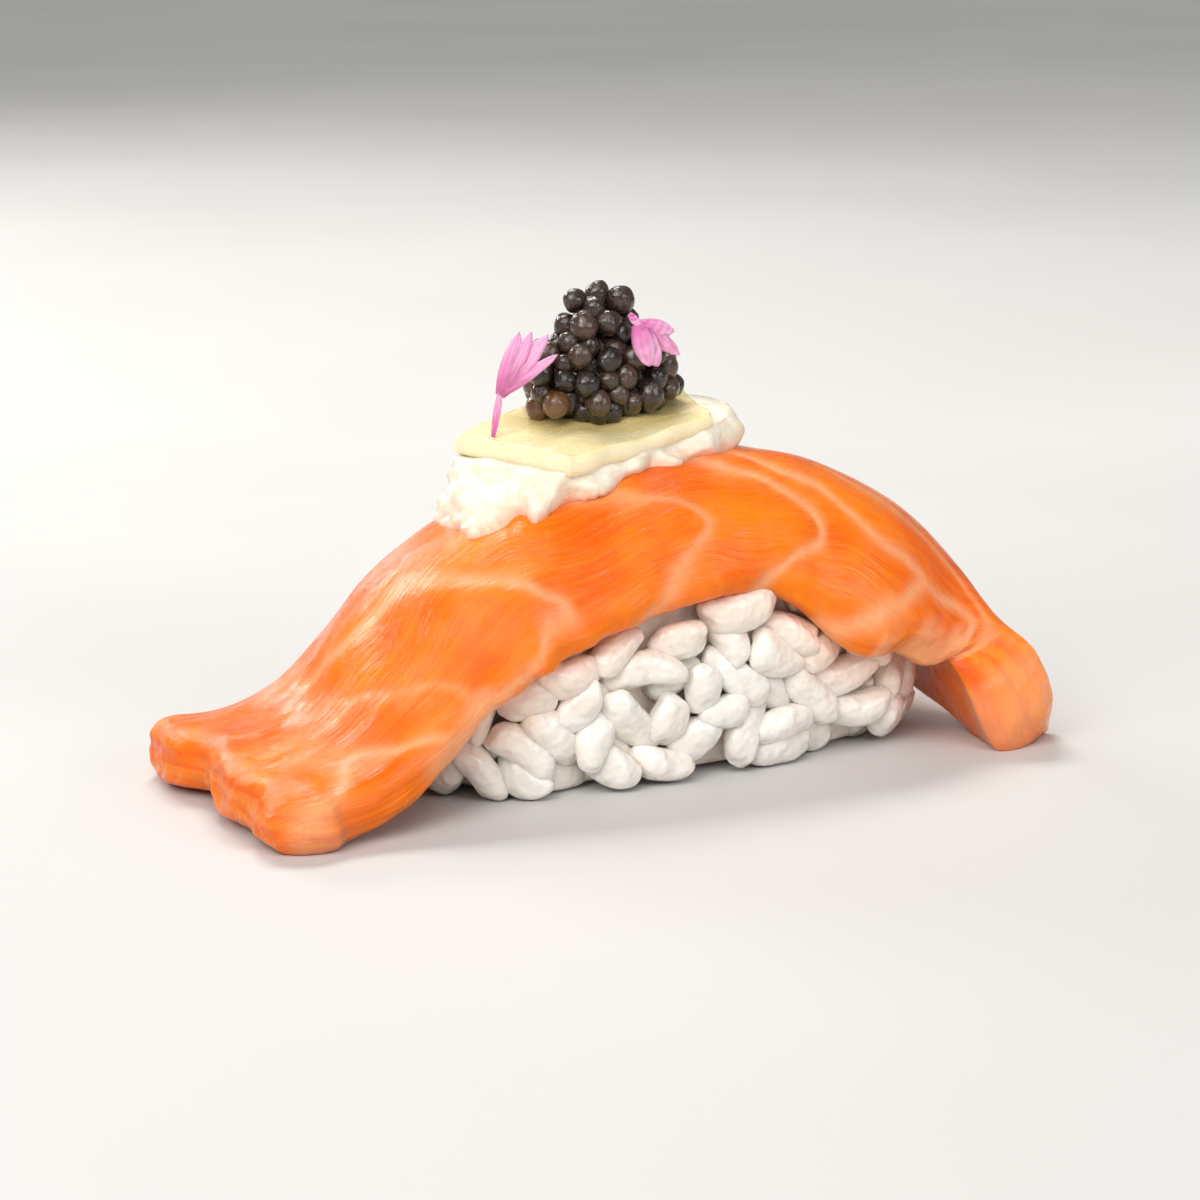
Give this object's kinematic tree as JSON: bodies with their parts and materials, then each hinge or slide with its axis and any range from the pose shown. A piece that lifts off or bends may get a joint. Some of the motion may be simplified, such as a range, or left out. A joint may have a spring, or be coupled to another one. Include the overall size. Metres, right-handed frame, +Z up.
{
  "type": "salmon nigiri",
  "caption": "Hand-pressed rice block under a draped salmon slice, topped with cream, a pale slice, dark roe and pink florets.",
  "frame": {"origin": "on the table, under the middle of the whole", "axes": "+X along the rice towards the thick end of the salmon, +Y to the back, +Z up"},
  "size_m": [0.0822, 0.0342, 0.0441],
  "materials": {
    "salmon": "wet raw salmon, deep orange with pale fat lines",
    "rice": "moist cooked rice, translucent white",
    "cream": "smeared soft cream",
    "slice": "moist pale yellow slice",
    "roe": "wet dark roe",
    "petal": "soft pink petal with fine veins"
  },
  "bodies": {
    "root": {"salmon": "salmon", "rice": "rice", "cream": "cream", "slice": "slice", "caviar": "roe", "petal_left": "petal", "petal_right": "petal"}
  },
  "joints": []
}
